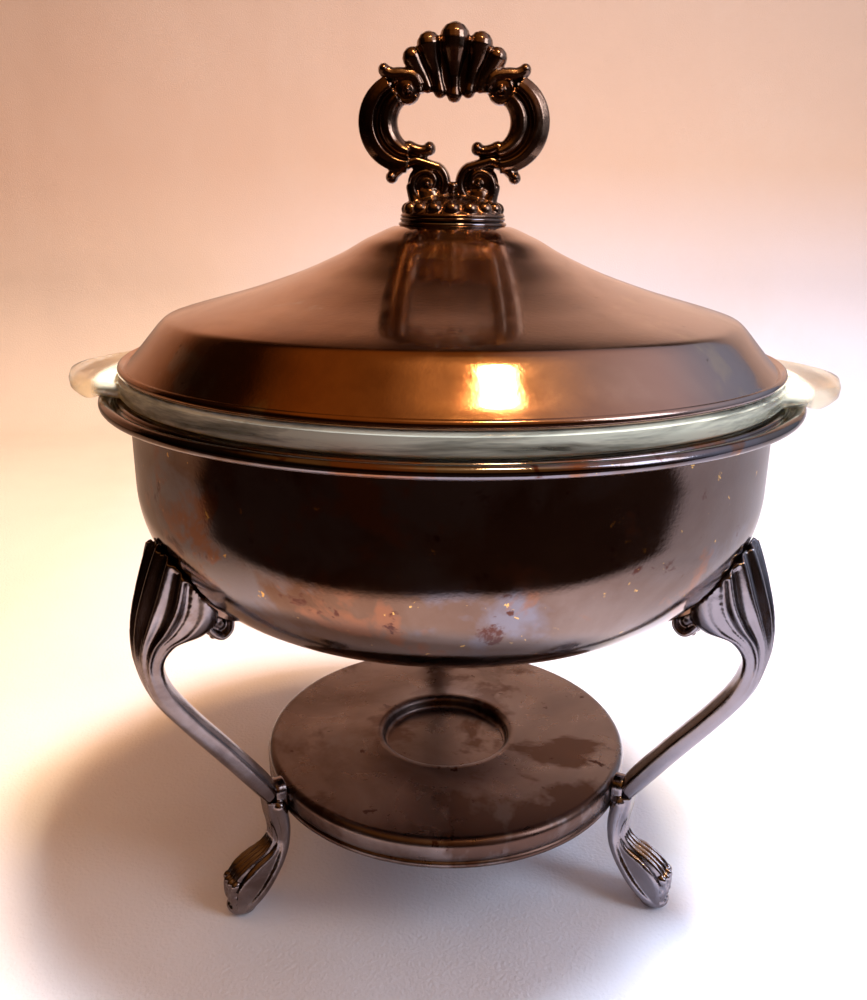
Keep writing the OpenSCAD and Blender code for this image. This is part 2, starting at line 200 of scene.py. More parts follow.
def lathe(outline, turns=256):
    """A turned shape from a closed (radius, height) outline; points on the axis become poles."""
    made = Mesh()
    angles = np.linspace(0, 2 * math.pi, turns, endpoint=False)
    on_axis = outline[0][0] < 1e-6 and outline[-1][0] < 1e-6
    rows = outline[1:-1] if on_axis else outline
    verts = [(r * math.cos(a), r * math.sin(a), z) for r, z in rows for a in angles]
    count = len(rows)
    last = count - 1 if on_axis else count
    faces = [(j * turns + i, j * turns + (i + 1) % turns,
              (j + 1) % count * turns + (i + 1) % turns, (j + 1) % count * turns + i)
             for j in range(last) for i in range(turns)]
    if on_axis:
        verts += [(0, 0, outline[0][1]), (0, 0, outline[-1][1])]
        top, end = count * turns, count * turns + 1
        faces += [(top, (i + 1) % turns, i) for i in range(turns)]
        base = (count - 1) * turns
        faces += [(end, base + i, base + (i + 1) % turns) for i in range(turns)]
    made.add(verts, faces)
    return made


# ---------------------------------------------------------------- materials
class Nodes:
    """Small helper over a material's node tree."""

    def __init__(self, name):
        self.material = bpy.data.materials.new(name)
        self.material.use_nodes = True
        self.tree = self.material.node_tree
        self.shader = self.tree.nodes["Principled BSDF"]
        self.place = self.add("ShaderNodeTexCoord").outputs["Object"]

    def add(self, kind, **values):
        node = self.tree.nodes.new(kind)
        for key, value in values.items():
            if hasattr(node, key):
                setattr(node, key, value)
            else:
                node.inputs[key.replace("_", " ")].default_value = value
        return node

    def link(self, a, b):
        self.tree.links.new(a, b)

    def split(self):
        """The X, Y and Z of the object's own coordinates."""
        node = self.add("ShaderNodeSeparateXYZ")
        self.link(self.place, node.inputs[0])
        return node.outputs

    def span(self, value, low, high, start=0.0, end=1.0):
        """Runs from start to end while the value runs from low to high, and is level outside that."""
        node = self.add("ShaderNodeMapRange")
        limits = {"From Min": low, "From Max": high, "To Min": start, "To Max": end}
        for name, number in limits.items():
            node.inputs[name].default_value = number
        self.link(value, node.inputs["Value"])
        return node.outputs["Result"]

    def maths(self, operation, first, second, use_clamp=False):
        node = self.add("ShaderNodeMath", operation=operation, use_clamp=use_clamp)
        self.link(first, node.inputs[0])
        self.link(second, node.inputs[1])
        return node.outputs[0]

    def blend(self, fac, first, second):
        """Mixes two shaders."""
        node = self.add("ShaderNodeMixShader")
        for value, socket in zip((fac, first, second), node.inputs):
            self.link(value, socket)
        return node.outputs[0]

    def surface(self, shader):
        """Makes a shader the material's output."""
        output = next(node for node in self.tree.nodes if node.type == "OUTPUT_MATERIAL")
        self.link(shader, output.inputs["Surface"])

    def noise(self, scale, detail=4.0, roughness=0.55, distortion=0.0, stretch=None):
        node = self.add("ShaderNodeTexNoise")
        node.inputs["Scale"].default_value = scale
        node.inputs["Detail"].default_value = detail
        node.inputs["Roughness"].default_value = roughness
        node.inputs["Distortion"].default_value = distortion
        source = self.place
        if stretch:
            mapping = self.add("ShaderNodeMapping")
            mapping.inputs["Scale"].default_value = stretch
            self.link(source, mapping.inputs["Vector"])
            source = mapping.outputs["Vector"]
        self.link(source, node.inputs["Vector"])
        return node.outputs["Fac"]

    def ramp(self, fac, stops):
        """A colour ramp through stops of (position, grey level or colour)."""
        node = self.add("ShaderNodeValToRGB")
        ramp = node.color_ramp
        while len(ramp.elements) < len(stops):
            ramp.elements.new(0.5)
        for element, (position, colour) in zip(ramp.elements, stops):
            element.position = position
            colour = (colour,) * 3 if isinstance(colour, (int, float)) else colour
            element.color = (*colour, 1)
        self.link(fac, node.inputs["Fac"])
        return node.outputs["Color"]

    def mix(self, fac, a, b):
        """Mixes two colours; each of the three values is a socket, a number or a colour."""
        node = self.add("ShaderNodeMix", data_type="RGBA")
        sockets = [s for s in node.inputs if s.enabled]
        for value, socket in zip((fac, a, b), sockets):
            if isinstance(value, bpy.types.NodeSocket):
                self.link(value, socket)
            elif isinstance(value, (int, float)):
                socket.default_value = value
            else:
                socket.default_value = (*value, 1)
        return [s for s in node.outputs if s.enabled][0]

    def bump(self, *layers):
        """Layers of (height socket, distance in mm), each on top of the one before."""
        normal = None
        for height, distance in layers:
            node = self.add("ShaderNodeBump")
            node.inputs["Distance"].default_value = distance * MM
            node.inputs["Strength"].default_value = 1.0
            self.link(height, node.inputs["Height"])
            if normal:
                self.link(normal, node.inputs["Normal"])
            normal = node.outputs["Normal"]
        self.link(normal, self.shader.inputs["Normal"])


def metal(name, colours, rough, stains=(), sway=0.0, grain=0.02, scale=14, coat=0.0, right=None):
    """Tarnished metal: cloudy colour, stains of (scale, threshold, softness, colour), uneven gloss.

    sway is the depth in mm of slow dents and grain that of fine ones, coat adds a thin sharp
    polish, and right is a painted reflection of the cool window light: the tone that the colour shifts to
    towards +X.
    """
    n = Nodes(name)
    colour = n.ramp(n.noise(scale, 6, 0.6, 0.6), [(0.32, colours[0]), (0.5, colours[1]), (0.68, colours[2])])
    # Painted reflection: the side towards +X takes the cool tone of the window light.
    if right:
        colour = n.mix(n.span(n.split()["X"], -0.03, 0.1), colour, n.mix(0.75, colour, right))
    for size, edge, soft, tint in stains:
        spot = n.ramp(n.noise(size, 5, 0.6, 0.3), [(edge, 0.0), (edge + soft, 1.0)])
        colour = n.mix(spot, colour, tint)
    n.link(colour, n.shader.inputs["Base Color"])
    n.shader.inputs["Metallic"].default_value = 1.0
    gloss = n.ramp(n.noise(scale * 3, 7, 0.65, 0.4), [(0.35, rough[0]), (0.7, rough[1])])
    n.link(gloss, n.shader.inputs["Roughness"])
    if coat:
        n.shader.inputs["Coat Weight"].default_value = coat
        n.shader.inputs["Coat Roughness"].default_value = 0.04
        n.shader.inputs["Coat IOR"].default_value = 1.9
    layers = [(n.noise(900, 3, 0.6), grain)]
    if sway:
        layers.insert(0, (n.noise(9, 1, 0.4), sway))
    n.bump(*layers)
    return n.material


# The right tones below are painted reflections of the cool window light towards +X.
plate = metal(
    "tarnished_plate", [(0.25, 0.09, 0.022), (0.38, 0.16, 0.05), (0.48, 0.25, 0.11)], (0.09, 0.24),
    [(38, 0.62, 0.06, (0.42, 0.30, 0.22)), (160, 0.70, 0.03, (0.10, 0.04, 0.02))],
    sway=0.9, coat=0.3, right=(0.34, 0.315, 0.34))
bowl_plate = metal(
    "bowl_plate", [(0.10, 0.043, 0.022), (0.17, 0.10, 0.068), (0.26, 0.19, 0.155)], (0.06, 0.16),
    [(22, 0.5, 0.1, (0.20, 0.18, 0.20)), (34, 0.56, 0.06, (0.26, 0.12, 0.07)),
     (75, 0.64, 0.04, (0.10, 0.04, 0.03)), (260, 0.68, 0.02, (0.75, 0.45, 0.14))],
    sway=0.5, right=(0.15, 0.122, 0.115))
dark_cast = metal(
    "dark_casting", [(0.10, 0.05, 0.03), (0.19, 0.11, 0.075), (0.30, 0.19, 0.13)], (0.14, 0.28),
    grain=0.05, scale=60)
leg_cast = metal(
    "leg_casting", [(0.14, 0.10, 0.09), (0.23, 0.185, 0.175), (0.33, 0.28, 0.275)], (0.14, 0.28),
    [(50, 0.62, 0.08, (0.16, 0.1, 0.075))], grain=0.03, scale=40, right=(0.26, 0.25, 0.285))
tray_plate = metal(
    "tray_sheet", [(0.075, 0.042, 0.03), (0.15, 0.105, 0.09), (0.22, 0.175, 0.165)], (0.24, 0.4),
    [(19, 0.5, 0.05, (0.085, 0.047, 0.035)), (24, 0.57, 0.06, (0.14, 0.108, 0.10)),
     (90, 0.66, 0.03, (0.05, 0.02, 0.015))], sway=0.5, right=(0.24, 0.22, 0.23))
wire_metal = metal(
    "drawn_wire", [(0.4, 0.38, 0.35), (0.5, 0.48, 0.44), (0.58, 0.55, 0.5)], (0.25, 0.4), scale=120)
brass = metal(
    "dulled_brass", [(0.25, 0.17, 0.07), (0.42, 0.3, 0.13), (0.55, 0.41, 0.19)], (0.22, 0.4), scale=150)


GLASS_IOR = 1.5


def clear_glass():
    """Pale glass: see-through in the two tabs; along the rim band, pale diffuse streaks are painted
    reflections and highlights.
    """
    n = Nodes("clear_glass")
    s = n.shader
    s.inputs["Base Color"].default_value = (0.95, 0.98, 0.90, 1)
    s.inputs["Transmission Weight"].default_value = 1.0
    s.inputs["IOR"].default_value = GLASS_IOR
    gloss = n.ramp(n.noise(300, 3), [(0.45, 0.0), (0.75, 0.05)])
    n.link(gloss, s.inputs["Roughness"])
    n.bump((n.noise(16, 2, 0.5), 0.9), (n.noise(60, 2, 0.5), 0.12))
    x, y, z = n.split()
    flat, radius = n.add("ShaderNodeCombineXYZ"), n.add("ShaderNodeVectorMath", operation="LENGTH")
    n.link(x, flat.inputs["X"])
    n.link(y, flat.inputs["Y"])
    n.link(flat.outputs[0], radius.inputs[0])
    out = radius.outputs["Value"]

    # Painted reflections and highlights: pale diffuse streaks across the rim band.
    glare_streaks = n.ramp(n.noise(26, 4, 0.6, 0.3, (1, 1, 9)), [(0.36, 0.08), (0.5, 0.5), (0.62, 0.95)])
    rim = n.maths("MULTIPLY", n.span(z, (LEDGE_Z - 1) * MM, (LEDGE_Z + 1) * MM), glare_streaks)
    painted_glare = n.add("ShaderNodeBsdfDiffuse", Color=(0.97, 0.98, 0.76, 1))
    band = n.blend(rim, s.outputs[0], painted_glare.outputs[0])

    shine = n.add("ShaderNodeBsdfGlossy", Roughness=0.04)
    thin = n.add("ShaderNodeBsdfTransparent", Color=(0.96, 0.93, 0.81, 1))
    fresnel = n.add("ShaderNodeFresnel", IOR=GLASS_IOR)
    for node in (shine, fresnel):
        n.link(s.inputs["Normal"].links[0].from_socket, node.inputs["Normal"])
    inside = n.add("ShaderNodeNewGeometry").outputs["Backfacing"]
    gleam = n.maths("SUBTRACT", fresnel.outputs[0], inside, use_clamp=True)
    tab = n.blend(gleam, thin.outputs[0], shine.outputs[0])
    lip = n.blend(n.span(out, (TAB_REACH - 7) * MM, (TAB_REACH + 5) * MM), tab, s.outputs[0])
    n.surface(n.blend(n.span(out, (RIM_R - 1) * MM, (RIM_R + 2) * MM), band, lip))
    return n.material


glass = clear_glass()

# ---------------------------------------------------------------- lid, bowl, tray, glass
def lid_outline():
    top = smooth([(CROWN_R, CROWN_Z), (22, 239.7), (26, 237.9), (30, 236.0), (35, 233.1), (40, 230.6),
                  (50, 226.2), (60, 222.6), (70, 219.4), (80, 216.6), (88, 214.4), (93, 212.9), (95.6, 211.9),
                  (97.4, 210.5), (99.2, 208.6), (102, 205.3), (106, 200.7), (109.2, 197.6)], 6)
    bead = arc(LID_EDGE_R - 1.5, LID_EDGE_Z + 1.5, 1.5, 75, -90, 12)
    inside = [(r - 0.55, z - SHEET) for r, z in top[::-1] if r < 106]
    return ([(2.8, CROWN_Z)] + [tuple(p) for p in top] + bead + [(101, LID_EDGE_Z)]
            + [(100.8, LID_EDGE_Z - 5.2), (100.2, LID_EDGE_Z - 5.5), (99.6, LID_EDGE_Z - 5.2),
               (99.6, LID_EDGE_Z + SHEET), (104, LID_EDGE_Z + SHEET)]
            + inside + [(2.8, CROWN_Z - SHEET)])


def bowl_outline():
    cx, cz = CORNER_C
    inner_r = BOWL_R - SHEET
    bead_x, bead_z = RIM_R - BEAD_R, LEDGE_Z - 1.5
    return ([(0, FLOOR_Z + SHEET), (30, FLOOR_Z + SHEET)]
            + arc(cx, cz, CORNER_R - SHEET, -90, 0, 48) + [(inner_r, 175), (inner_r, LEDGE_Z - 1.4)]
            + arc(inner_r + 1.4, LEDGE_Z - 1.4, 1.4, 170, 90, 5)
            + arc(112.1, LEDGE_Z - 0.9, 0.9, 90, 0, 5) + arc(113.6, bead_z + 0.9, 0.6, 180, 270, 4)
            + arc(bead_x, bead_z, BEAD_R, 135, -110, 18) + [(bead_x - 2.2, bead_z - 0.9), (111, bead_z - 0.9)]
            + arc(BOWL_R + 1.6, bead_z - 2.5, 1.6, 90, 180, 6) + [(BOWL_R, 175)]
            + arc(cx, cz, CORNER_R, 0, -90, 64) + [(40, FLOOR_Z), (20, FLOOR_Z), (0, FLOOR_Z)])


def tray_outline():
    hem_x, hem_z = TRAY_R - 1.5, TRAY_BOTTOM + 1.5
    lip, well = 26.9, TRAY_TOP - 4.9
    return ([(0, well)] + [(r, well) for r in (8, 16, 22)] + arc(22.6, well + 1.8, 1.8, -90, 0, 6)
            + [(24.4, TRAY_TOP - 2.5)] + arc(lip, TRAY_TOP - 2.5, 2.5, 180, 105, 6)
            + [(lip, TRAY_TOP), (28.4, TRAY_TOP), (29.2, TRAY_TOP - 0.25), (45, TRAY_TOP - 0.1)]
            + [(60, TRAY_TOP)]
            + arc(TRAY_R - 3, TRAY_TOP - 3, 3, 90, 0, 10)
            + [(TRAY_R, hem_z + 3.4), (TRAY_R - 0.25, hem_z + 1.8)]
            + arc(hem_x, hem_z, 1.5, 60, -200, 20)
            + [(TRAY_R - SHEET, hem_z + 2), (TRAY_R - SHEET, TRAY_TOP - 4), (TRAY_R - 3, TRAY_TOP - SHEET),
               (30, TRAY_TOP - SHEET), (25.6, TRAY_TOP - 2.2), (25.6, well - SHEET), (0, well - SHEET)])


def glass_mesh(turns=360):
    """The casserole as one skin: its section stretches outwards into a tab on two sides."""
    top, ledge, band = LID_EDGE_Z, LEDGE_Z, GLASS_RIM_R
    mouth, floor, corner = GLASS_R - GLASS_T, FLOOR_Z + 5, 44
    centre = TAB_REACH - TAB_CURVE_R
    rings = []
    for a in np.linspace(0, 2 * math.pi, turns, endpoint=False):
        # distance to the tab's round edge along this direction, if the direction meets it
        under = TAB_CURVE_R**2 - (centre * math.sin(a)) ** 2
        reach = centre * abs(math.cos(a)) + math.sqrt(under) if under > 0 else 0
        # the tab's edge is slightly scalloped, and never lies inside the band
        ripple = 0.5 * math.cos(14 * a) * min(1, max(0, (reach - 120) / 8))
        out = max(reach + ripple - 0.5 * (ripple != 0), band)
        ease = min(1.0, max(0.0, (out - band) / 6))
        low = ledge + 0.9 - 2.2 * min(1, max(0, (out - RIM_R - 1.5) / 3))
        tab_top = top - 2.5 * ease
        section = (
            [(0, floor + GLASS_T), (30, floor + GLASS_T)]
            + arc(GLASS_R - corner, floor + corner, corner - GLASS_T, -90, 0, 14)
            + [(mouth, 180), (mouth, top - 1.6)]
            + arc(mouth + 1.6, top - 1.6, 1.6, 150, 90, 4)
            + [(band - 2.4, top), (band - 1.1, top - 0.35)]
            + [(band - 0.3 + 0.3 * (1 - ease), top - 1.1 - 0.4 * ease)]
            + [(band + (out - band) * 0.12 * ease, tab_top - 0.1 * ease - 1.2 * (1 - ease)),
               (max(band, out - 6) if ease > 0 else band, tab_top - 0.35 * ease - 1.6 * (1 - ease)),
               (max(band, out - 3.2), tab_top + 0.35 * ease - 2.0 * (1 - ease)),
               (max(band, out - 0.9), tab_top - 0.15 * ease - 2.3 * (1 - ease)),
               (out, (tab_top + low) / 2 + 0.4), (max(band, out - 0.3), low + 0.9 * ease + 0.6 * (1 - ease)),
               (max(band - 0.6, out - 1.4), low - 0.1), (max(band - 1.2, out - 3.2), low),
               (max(band - 1.6, min(out - 4.6, 123)), min(low + 1.4, ledge + 0.9)),
               (min(max(band - 2.0, out - 8), RIM_R + 1.2), ledge + 0.8)]
            + [(band - 1.5, ledge + 0.35), (band - 2.5, ledge + 0.02), (GLASS_R + 1.4, ledge + 0.02)]
            + arc(GLASS_R + 1.2, ledge - 1.2, 1.2, 90, 180, 4) + [(GLASS_R, 176)]
            + arc(GLASS_R - corner, floor + corner, corner, 0, -90, 20) + [(30, floor), (0, floor)]
        )
        rings.append([(r * math.cos(a), r * math.sin(a), z) for r, z in section])
    made = Mesh()
    count = len(rings[0])
    verts = [p for ring in rings for p in ring[1:-1]]
    n = count - 2
    faces = [(j * n + i, (j + 1) % turns * n + i, (j + 1) % turns * n + i + 1, j * n + i + 1)
             for j in range(turns) for i in range(n - 1)]
    verts += [rings[0][0], rings[0][-1]]
    inner, outer = turns * n, turns * n + 1
    faces += [(inner, (j + 1) % turns * n, j * n) for j in range(turns)]
    faces += [(outer, j * n + n - 1, (j + 1) % turns * n + n - 1) for j in range(turns)]
    made.add(verts, faces)
    return made.turned(DISH_TURN)


piece("lid_plate", lathe(lid_outline()), "lid_body", ["lid"], plate)
piece("bowl_plate", lathe(bowl_outline()), "stand", ["bowl"], bowl_plate)
piece("tray_plate", lathe(tray_outline()), "stand", ["burner_tray"], tray_plate)
piece("glass_casserole", glass_mesh(), "dish", ["glass_dish"], glass, sharp=0)
ring_outline = ([(2.8, CROWN_Z), (RING_R - 0.6, CROWN_Z)] + arc(RING_R - 0.6, CROWN_Z + 0.7, 0.6, -60, 60, 5)
                + [(RING_R - 0.9, CROWN_Z + 1.5)] + arc(RING_R - 1.0, CROWN_Z + 2.3, 0.55, -60, 80, 5)
                + [(RING_R - 2, CROWN_Z + 2.9), (2.8, CROWN_Z + 2.9)])
piece("crown_ring", lathe(ring_outline), "lid_body", ["handle_ring"], bowl_plate)


# ---------------------------------------------------------------- handle
def flat_path(points, steps):
    """A smooth path in the XZ plane, as points with Y at zero."""
    return np.insert(smooth(points, steps), 1, 0, axis=1)


def along(count, places, values):
    """Values for the points of a path, given at a few places from 0 at its start to 1 at its end."""
    return np.interp(np.linspace(0, 1, count), places, values)


def handle_mesh():
    """The cast handle: a shell of lobes, two scrolled arms and a beaded dome, mirrored in X."""
    top = HANDLE_TOP
    half = Mesh()
    # outer lobes of the shell, thick at the rim and pinched above their feet
    lobe = flat_path([(8.2, top - 6.8), (7.5, top - 10.5), (5.9, top - 15), (4.6, top - 20.6)], 5)
    half.tube(lobe, along(len(lobe), [0, 0.25, 0.65, 0.85, 1], [4.1, 3.4, 2.0, 1.8, 2.1]), depth=1.25)
    lobe = flat_path([(13.5, top - 10.6), (11.8, top - 13.6), (9.8, top - 16.6), (8.6, top - 19.4)], 5)
    half.tube(lobe, along(len(lobe), [0, 0.3, 0.7, 1], [3.4, 2.8, 1.8, 1.8]), depth=1.25)
    # scroll from the upper volute out to the leaf tip
    upper = (15.0, top - 20.4)
    coil = [(upper[0] + r * math.cos(math.radians(a)), upper[1] + r * math.sin(math.radians(a)))
            for a, r in zip(np.linspace(-150, 190, 20), np.linspace(3.4, 4.1, 20))][::-1]
    sweep = smooth([(11.0, top - 19.0), (13.0, top - 16.2), (16.6, top - 15.6), (20.0, top - 15.7),
                    (22.3, top - 14.6), (22.9, top - 13.4)], 4)
    half.section(coil, np.linspace(1.1, 0.8, len(coil)),
                 [(-1, 1.5), (-0.6, 4.4), (0, 5.4), (0.6, 4.4), (1, 1.5)])
    half.section(sweep, along(len(sweep), [0, 0.5, 0.9, 1], [1.7, 2.3, 2.0, 1.4]),
                 [(-1, 1.5), (-0.6, 4.4), (0, 5.2), (0.6, 4.4), (1, 1.5)])
    half.ball((22.7, 0, top - 14.1), (2.0, 3.8, 2.0))
    half.ball((upper[0], 0, upper[1]), (1.7, 5.4, 1.7))
    half.ball((upper[0] + 0.6, 0, upper[1] + 0.8), (5.0, 3.0, 5.2))
    # arm: a crescent moulding with an outer bevel, a ridge, a groove and an inner roll
    out_c, out_r, in_c, in_r = (17.4, top - 29.6), 13.8, (10.0, top - 30.4), 8.5
    outer = [(out_c[0] + out_r * math.cos(math.radians(a)), out_c[1] + out_r * math.sin(math.radians(a)))
             for a in np.linspace(62, -84, 40)]
    inner = [(in_c[0] + in_r * math.cos(math.radians(a)), in_c[1] + in_r * math.sin(math.radians(a)))
             for a in np.linspace(52, -84, 40)]
    outer, inner = np.array(outer), np.array(inner)
    middle = (outer + inner) / 2
    widths = np.linalg.norm(outer - inner, axis=1) / 2
    bevel = [(-1.0, 1.6), (-0.96, 2.6), (-0.62, 4.2), (-0.3, 4.8), (-0.2, 4.5), (-0.08, 2.6), (0.04, 2.5),
             (0.16, 3.9), (0.34, 4.8), (0.52, 4.9), (0.7, 4.2), (0.86, 3.1), (0.95, 2.4), (1.0, 1.4)]
    half.section(middle, widths, [(-s, d) for s, d in bevel][::-1])
    # the inner roll ends in a knob at the finger gap
    roll = flat_path([(14.6, top - 37.3), (12.2, top - 38.3), (9.6, top - 38.6), (8.1, top - 38.1)], 5)
    half.tube(roll, along(len(roll), [0, 0.6, 1], [2.0, 1.9, 2.0]), depth=1.9)
    half.ball((7.9, 0, top - 37.9), (2.1, 4.0, 2.3))
    # lower scroll: from the outer knob over the top and round into the volute's eye
    low = (8.4, top - 48.9)
    start = smooth([(20.2, top - 46.8), (18.4, top - 45.0), (15.6, top - 42.9), (12.4, top - 41.7)], 5)
    angles = np.linspace(62, -400, 70)
    radii = np.interp(-angles, [-62, 120, 260, 400], [6.3, 5.6, 3.9, 1.5])
    coil = [(low[0] - r * math.cos(math.radians(a)), low[1] + r * math.sin(math.radians(a)) * 0.98)
            for a, r in zip(angles, radii)]
    lower = np.vstack([start, np.array(coil)[1:]])
    half.section(lower, along(len(lower), [0, 0.12, 0.5, 1], [1.5, 1.8, 1.4, 1.0]),
                 [(-1, 1.5), (-0.7, 4.6), (-0.3, 5.5), (0.3, 5.5), (0.7, 4.6), (1, 1.5)])
    half.ball((20.4, 0, top - 46.9), (2.1, 4.2, 2.1))
    half.ball((low[0], 0, low[1]), (1.6, 5.6, 1.6))
    half.ball((low[0] + 0.6, 0, low[1]), (6.2, 2.4, 6.4))
    # body between the volute and the foot, and the web behind the arm's lower end
    half.tube([(14.0, 0, top - 50), (12.6, 0, top - 54), (11.6, 0, top - 58)], [1.7, 2.2, 3.0], depth=1.6)
    half.tube([(8.4, 0, top - 53), (8.4, 0, top - 58)], [4.4, 4.4], depth=0.85)
    half.tube([(16.5, 0, top - 42.2), (13.5, 0, top - 41.0), (11.0, 0, top - 40.6)],
              [1.8, 1.6, 1.2], depth=1.6)
    whole = Mesh()
    whole.add(half.verts, half.faces)
    other = half.mirrored()
    whole.add(other.verts, other.faces)
    whole.tube([(0, 0, top - drop) for drop in (5, 8, 12, 16, 19.5, 21.6)],
               [5.0, 4.6, 3.0, 1.9, 1.9, 2.4], depth=1.2)
    # web behind the lobes
    web = [(-15.2, -19.5), (-12.6, -11.5), (-8, -8), (0, -6), (8, -8), (12.6, -11.5), (15.2, -19.5),
           (8, -20.6), (4, -21.4), (-4, -21.4), (-8, -20.6)]
    whole.add([(x, y, top + z) for y in (-1.0, 1.0) for x, z in web],
              [tuple(range(11)), tuple(range(21, 10, -1))]
              + [(i, i + 11, (i + 1) % 11 + 11, (i + 1) % 11) for i in range(11)])
    # small balls between the volutes, and the beaded dome they stand on
    whole.ball((0, -2.2, top - 49.6), (1.5, 2.2, 1.5))
    whole.ball((0, 2.2, top - 49.6), (1.5, 2.2, 1.5))
    whole.ball((0, 0, top - 53.2), (2.6, 5.2, 2.2))
    dome = [(0, DOME_Z), (17.3, DOME_Z), (17.6, DOME_Z + 0.5), (17.2, DOME_Z + 1.0), (15.5, DOME_Z + 2.2),
            (14.2, DOME_Z + 4.1), (11, DOME_Z + 5.6), (7, DOME_Z + 6.6), (0, DOME_Z + 7.2)]
    turned_dome = lathe(dome[::-1], 96)
    whole.add(turned_dome.verts, turned_dome.faces)
    for i in range(16):
        a = math.radians(i * 22.5 + 90)
        whole.ball((15.0 * math.cos(a), 15.0 * math.sin(a), DOME_Z + 2.5), (2.3, 2.6, 2.3), math.degrees(a))
        whole.ball((12.8 * math.cos(a), 12.8 * math.sin(a), DOME_Z + 3.8), (2.6, 1.7, 1.5), math.degrees(a))
    return whole


handle = cast(handle_mesh(), 0.3, 2)
piece("scroll_handle", handle.turned(DISH_TURN), "lid_body", ["handle"], dark_cast, sharp=0)


# ---------------------------------------------------------------- legs and feet
# Stations down a leg: its outer edge's radius and height, its inner edge's, and its half width
STEM = [(107.5, 151, 96, 140, 18), (111.4, 142, 93, 131, 17.2), (114.6, 133, 92, 121.5, 15.5),
        (117.1, 124, 96, 116.6, 12.6), (118.1, 115, 104.6, 114.4, 9.4), (117.2, 106, 109.3, 108, 7.2),
        (113.6, 94.6, 107.4, 98, 6.2), (105, 81.3, 99.4, 85, 5.8), (92.3, 63.8, 86.7, 67.9, 5.3),
        (81.5, 48.6, 76.2, 53, 5), (77.6, 43.2, 73.2, 47.6, 4.8)]
FLUTES, SPREAD = 7, 98


def off_bowl(point, gap):
    """Moves a point that lies in or near the bowl out to the given distance from its surface."""
    x, y, z = point
    r = math.hypot(x, y)
    cx, cz = CORNER_C
    if z > cz:
        shift = max(0.0, BOWL_R + gap - r)
        return (x * (r + shift) / r, y * (r + shift) / r, z)
    if r < cx:
        return (x, y, min(z, FLOOR_Z - gap))
    d = math.hypot(r - cx, z - cz)
    if d < CORNER_R + gap:
        k = (CORNER_R + gap) / d
        new_r, new_z = cx + (r - cx) * k, cz + (z - cz) * k
        return (x * new_r / r, y * new_r / r, new_z)
    return point


def leg_mesh():
    """One leg along +X: a shell of seven hollow flutes, a lug under the bowl and a plain stem."""
    fine = smooth(STEM, 14)
    sides, rows = 168, 130
    columns = []
    for i in range(sides):
        a = 360 * i / sides
        a = a - 360 if a > 180 else a
        fluted = abs(a) < SPREAD
        hollow = 1 - abs(math.cos(math.pi * (a / SPREAD + 1) / 2 * FLUTES)) ** 3 if fluted else 0
        u_raw, v_raw = math.cos(math.radians(a)), math.sin(math.radians(a))
        m = min(abs(a), 180 - abs(a)) / 90
        z_top = 147.0 - 3.2 * m - 8.6 * m**2.2 + 1.3 * hollow
        column = []
        for s in fine:
            front = np.interp(s[1], [85, 100, 125], [0.62, 0.8, 1.0])
            u = math.copysign(abs(u_raw) ** (front if u_raw > 0 else 0.5), u_raw)
            v = math.copysign(abs(v_raw) ** (front if u_raw > 0 else 0.72), v_raw)
            depth = np.interp(s[1], [88, 100, 112, 124, 146], [0, 0.35, 1.0, 1.9, 2.3]) * hollow
            bead = 0.8 * math.exp(-((180 - abs(a)) / 26) ** 2) * np.interp(s[1], [100, 112], [1, 0])
            thick = math.hypot(s[0] - s[2], s[1] - s[3]) / 2
            grow = 1 + bead / thick if u_raw < 0 else 1
            cut = depth / max(thick, 1) * abs(u) ** 0.5 if u_raw > -0.2 else 0
            column.append(((s[0] + s[2]) / 2 + (u * grow - cut) * (s[0] - s[2]) / 2, v * (s[4] - depth),
                           (s[1] + s[3]) / 2 + (u * grow - cut) * (s[1] - s[3]) / 2))
        column = np.array(column)
        begin = 0.0
        if column[0, 2] > z_top:
            k = int(np.argmax(column[:, 2] <= z_top))
            begin = k - 1 + (column[k - 1, 2] - z_top) / (column[k - 1, 2] - column[k, 2])
        places, index = np.linspace(begin, len(fine) - 1, rows), np.arange(len(fine))
        columns.append(np.stack([np.interp(places, index, column[:, c]) for c in range(3)], axis=1))
    made = Mesh()
    points = [off_bowl(tuple(columns[i][j]), 0.5) for j in range(rows) for i in range(sides)]
    faces = [(j * sides + i, j * sides + (i + 1) % sides,
              (j + 1) * sides + (i + 1) % sides, (j + 1) * sides + i)
             for j in range(rows - 1) for i in range(sides)]
    # the top closes from its outer edge straight back to the bowl, the foot end closes flat
    half, quarter = sides // 2, sides // 4
    for k in range(-quarter, quarter):
        face = []
        for corner in (k % sides, (half - k) % sides, (half - k - 1) % sides, (k + 1) % sides):
            if corner not in face:
                face.append(corner)
        if len(face) > 2:
            faces.append(tuple(face))
    faces.append(tuple((rows - 1) * sides + i for i in range(sides)))
    made.add(points, faces)
    # lug under the bowl: a block with a raised rim and a smooth dome on each side, and a row of beads
    block = [(101.5, 127), (97.5, 119.5), (92.4, 113.6), (89.4, 113.6), (86.9, 117), (87.6, 122), (92, 128)]
    made.rings([[(x, y, z) for x, z in block] for y in (-6.4, 6.4)])
    rim = smooth([(102.0, 127.4), (99.2, 123.4), (96.0, 118.9), (92.6, 114.7), (90.2, 113.9), (87.9, 116.0),
                  (87.4, 119.6)], 4)
    dome = smooth([(98.6, 127.6), (96.0, 124.4), (93.4, 121.0), (91.4, 118.2)], 4)
    for side in (-1, 1):
        made.tube([(x, side * 6.6, z) for x, z in rim],
                  along(len(rim), [0, 0.5, 1], [0.9, 1.3, 1.0]), depth=1.5)
        made.tube([(x, side * 5.6, z) for x, z in dome],
                  along(len(dome), [0, 0.4, 0.8, 1], [1.6, 2.9, 3.0, 2.2]))
        for k in range(5):
            made.ball((98.4 - 1.25 * k, side * 5.0, 121.0 - 1.75 * k), (1.15, 1.5, 1.15))
    return made


